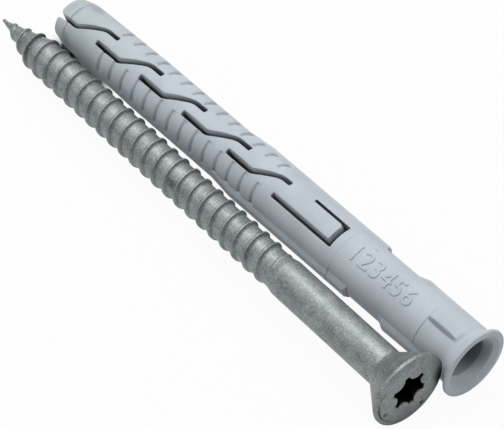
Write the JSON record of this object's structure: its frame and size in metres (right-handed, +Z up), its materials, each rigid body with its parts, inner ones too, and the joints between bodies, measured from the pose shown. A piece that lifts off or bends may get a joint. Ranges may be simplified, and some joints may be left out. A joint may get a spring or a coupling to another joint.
{
  "type": "frame anchor",
  "caption": "Frame anchor, 10 mm by 100 mm: a grey nylon sleeve with zigzag expansion slots and saw-tooth barbs, beside its countersunk six-lobe screw.",
  "frame": {"origin": "on the floor, under the middle of the box round both pieces", "axes": "+X towards the sleeve's mouth and the screw's head, +Y from the screw to the sleeve, +Z up"},
  "size_m": [0.109, 0.026, 0.0139],
  "materials": {
    "nylon": "matt moulded nylon, light blue-grey",
    "galvanised_steel": "dull hot-dip galvanised zinc"
  },
  "bodies": {
    "root": {"anchor_sleeve": "nylon", "countersunk_screw": "galvanised_steel"}
  },
  "joints": []
}
